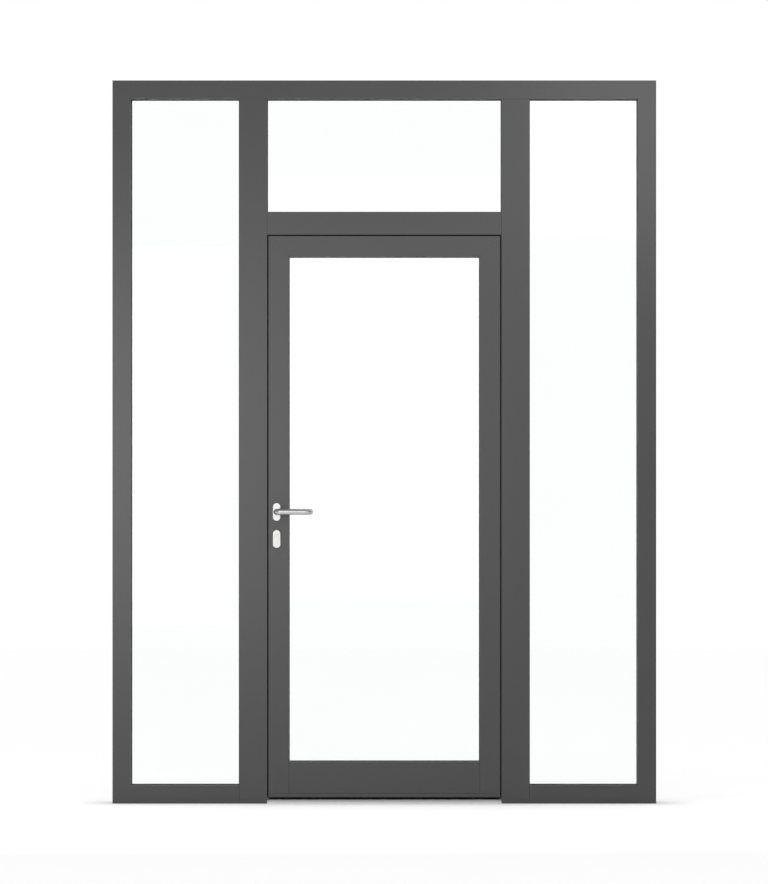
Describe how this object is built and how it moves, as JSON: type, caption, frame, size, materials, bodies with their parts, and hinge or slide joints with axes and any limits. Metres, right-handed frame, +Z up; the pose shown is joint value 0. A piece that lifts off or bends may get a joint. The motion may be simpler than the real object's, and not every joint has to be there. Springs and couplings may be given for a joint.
{
  "type": "glass door",
  "caption": "Glazed aluminium entrance door with a hinged glass leaf, a lever handle and lock, fixed sidelights and a transom light, in one frame.",
  "frame": {"origin": "on the floor under the middle of the frame, at mid depth of the profiles", "axes": "+Z up, +X to the right seen from the front, +Y towards the back, where the hinges are and the leaf opens"},
  "size_m": [2, 0.199, 2.66],
  "materials": {
    "frame_paint": "satin powder coat",
    "leaf_paint": "satin powder coat",
    "bare_aluminium": "mill finish",
    "handle_steel": "satin",
    "lock_steel": "plated",
    "cylinder_metal": "satin nickel plated",
    "screw_steel": "plain",
    "clear_glass": "clear",
    "gasket_rubber": "matte",
    "polyamide": "matte",
    "brush_fibre": "matte"
  },
  "bodies": {
    "frame": {"jamb_left": "frame_paint", "jamb_right": "frame_paint", "head": "frame_paint", "sill_left": "frame_paint", "sill_right": "frame_paint", "mullion_left": "frame_paint", "mullion_right": "frame_paint", "transom": "frame_paint", "threshold": "bare_aluminium", "frame_thermal_breaks": "polyamide", "frame_corner_cleats": "bare_aluminium", "frame_joint_connectors": "bare_aluminium", "sidelight_left_front_pane": "clear_glass", "sidelight_left_back_pane": "clear_glass", "sidelight_left_spacer": "polyamide", "sidelight_right_front_pane": "clear_glass", "sidelight_right_back_pane": "clear_glass", "sidelight_right_spacer": "polyamide", "transom_light_front_pane": "clear_glass", "transom_light_back_pane": "clear_glass", "transom_light_spacer": "polyamide", "sidelight_beads": "frame_paint", "transom_light_beads": "frame_paint", "sidelight_gaskets": "gasket_rubber", "transom_light_gaskets": "gasket_rubber", "frame_setting_blocks": "polyamide", "door_stop_seal": "gasket_rubber", "strike_plate": "lock_steel", "frame_screws": "screw_steel", "hinge_frame_wings": "frame_paint", "hinge_pins": "lock_steel"},
    "leaf": {"lock_stile": "leaf_paint", "hinge_stile": "leaf_paint", "leaf_top_rail": "leaf_paint", "leaf_bottom_rail": "leaf_paint", "leaf_thermal_breaks": "polyamide", "leaf_corner_cleats": "bare_aluminium", "leaf_joint_connectors": "bare_aluminium", "leaf_front_pane": "clear_glass", "leaf_back_pane": "clear_glass", "leaf_spacer": "polyamide", "leaf_beads": "leaf_paint", "leaf_gaskets": "gasket_rubber", "leaf_setting_blocks": "polyamide", "bottom_seal_carrier": "leaf_paint", "bottom_brushes": "brush_fibre", "hinge_leaf_wings": "leaf_paint", "lock_case": "lock_steel", "lock_faceplate": "lock_steel", "cylinder_body": "cylinder_metal", "lever_roses": "handle_steel", "key_escutcheons": "handle_steel", "leaf_screws": "screw_steel"},
    "lever": {"lever_front": "handle_steel", "lever_back": "handle_steel", "spindle": "lock_steel", "lock_follower": "lock_steel"},
    "latch": {"latch_bolt": "lock_steel"},
    "bolt": {"dead_bolt": "lock_steel"},
    "plug": {"cylinder_plug": "cylinder_metal"}
  },
  "joints": [
    {"name": "leaf_swing", "type": "hinge", "parent": "frame", "child": "leaf", "pos_m": [0.4485, 0.049, 1.07], "axis": [0, 0, -1], "range_deg": [0, 170]},
    {"name": "lever_turn", "type": "hinge", "parent": "leaf", "child": "lever", "pos_m": [-0.396, 0, 1.073], "axis": [0, 1, 0], "range_deg": [0, 40], "stiffness_Nm_per_rad": 1.5, "springref_deg": -34.38},
    {"name": "latch_slide", "type": "slide", "parent": "leaf", "child": "latch", "axis": [1, 0, 0], "range_m": [0, 0.014]},
    {"name": "plug_turn", "type": "hinge", "parent": "leaf", "child": "plug", "pos_m": [-0.396, 0, 0.985], "axis": [0, 1, 0], "range_deg": [0, 360]},
    {"name": "bolt_slide", "type": "slide", "parent": "leaf", "child": "bolt", "axis": [-1, 0, 0], "range_m": [0, 0.02]}
  ],
  "couplings": [
    {"joint": "latch_slide", "follows": "lever_turn", "m_per_rad": 0.02},
    {"joint": "plug_turn", "follows": "bolt_slide", "rad_per_m": 314.16}
  ]
}
